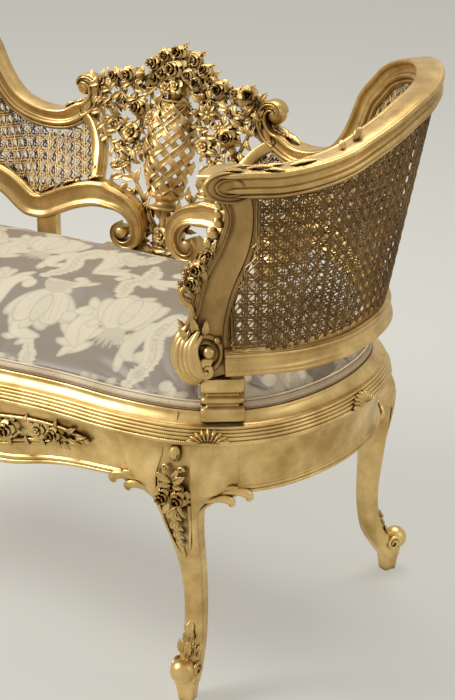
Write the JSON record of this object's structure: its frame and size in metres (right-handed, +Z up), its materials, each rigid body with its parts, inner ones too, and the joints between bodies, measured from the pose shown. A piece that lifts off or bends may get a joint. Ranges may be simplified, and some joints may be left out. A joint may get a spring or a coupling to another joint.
{
  "type": "marquise armchair",
  "caption": "Wide low upholstered armchair with gilded cabriole legs, curved caned wings that scroll at the back, and a carved openwork splat of a rose basket.",
  "frame": {"origin": "centre of the bounding box, on the floor under the feet", "axes": "+Z up; the front of the seat faces -Y; +X to the right of someone who faces the front, along the width"},
  "size_m": [1.0054, 0.5458, 0.756],
  "materials": {
    "gilt_wood": "water gilding, worn satin",
    "beech": "bare planed",
    "cane_light": "woven cane, gilded satin",
    "cane_dark": "woven cane, dark stained",
    "damask": "satin damask weave",
    "gimp": "woven silk braid",
    "webbing": "woven jute",
    "hessian": "plain weave",
    "hair": "felted curled hair",
    "steel": "satin"
  },
  "bodies": {
    "root": {"arm_dowels": "beech", "arm_pedestal_left": "gilt_wood", "arm_pedestal_right": "gilt_wood", "arm_post_left": "gilt_wood", "arm_post_right": "gilt_wood", "back_block_left": "gilt_wood", "back_block_right": "gilt_wood", "cane_inner_left": "cane_light", "cane_inner_right": "cane_light", "cane_outer_left": "cane_dark", "cane_outer_right": "cane_dark", "corner_block_front_left": "beech", "corner_block_front_right": "beech", "corner_block_rear_left": "beech", "corner_block_rear_right": "beech", "corner_block_screws": "steel", "gimp_braid": "gimp", "hessian": "hessian", "knee_brackets_front": "gilt_wood", "knee_brackets_rear": "gilt_wood", "leg_front_left": "gilt_wood", "leg_front_right": "gilt_wood", "leg_rear_left": "gilt_wood", "leg_rear_right": "gilt_wood", "moulding_back": "gilt_wood", "moulding_end_left": "gilt_wood", "moulding_end_right": "gilt_wood", "moulding_front": "gilt_wood", "rail_back": "gilt_wood", "rail_end_left": "gilt_wood", "rail_end_right": "gilt_wood", "rail_front": "gilt_wood", "seat_cover": "damask", "seat_stuffing": "hair", "splat_basket": "gilt_wood", "splat_bouquet": "gilt_wood", "splat_garland_left": "gilt_wood", "splat_garland_right": "gilt_wood", "splat_shoe": "gilt_wood", "splat_socle": "gilt_wood", "splat_stems": "gilt_wood", "webbing_front_to_back": "webbing", "webbing_side_to_side": "webbing", "wing_bottom_rail_left": "gilt_wood", "wing_bottom_rail_right": "gilt_wood", "wing_stile_left": "gilt_wood", "wing_stile_right": "gilt_wood", "wing_top_rail_left": "gilt_wood", "wing_top_rail_right": "gilt_wood"}
  },
  "joints": []
}
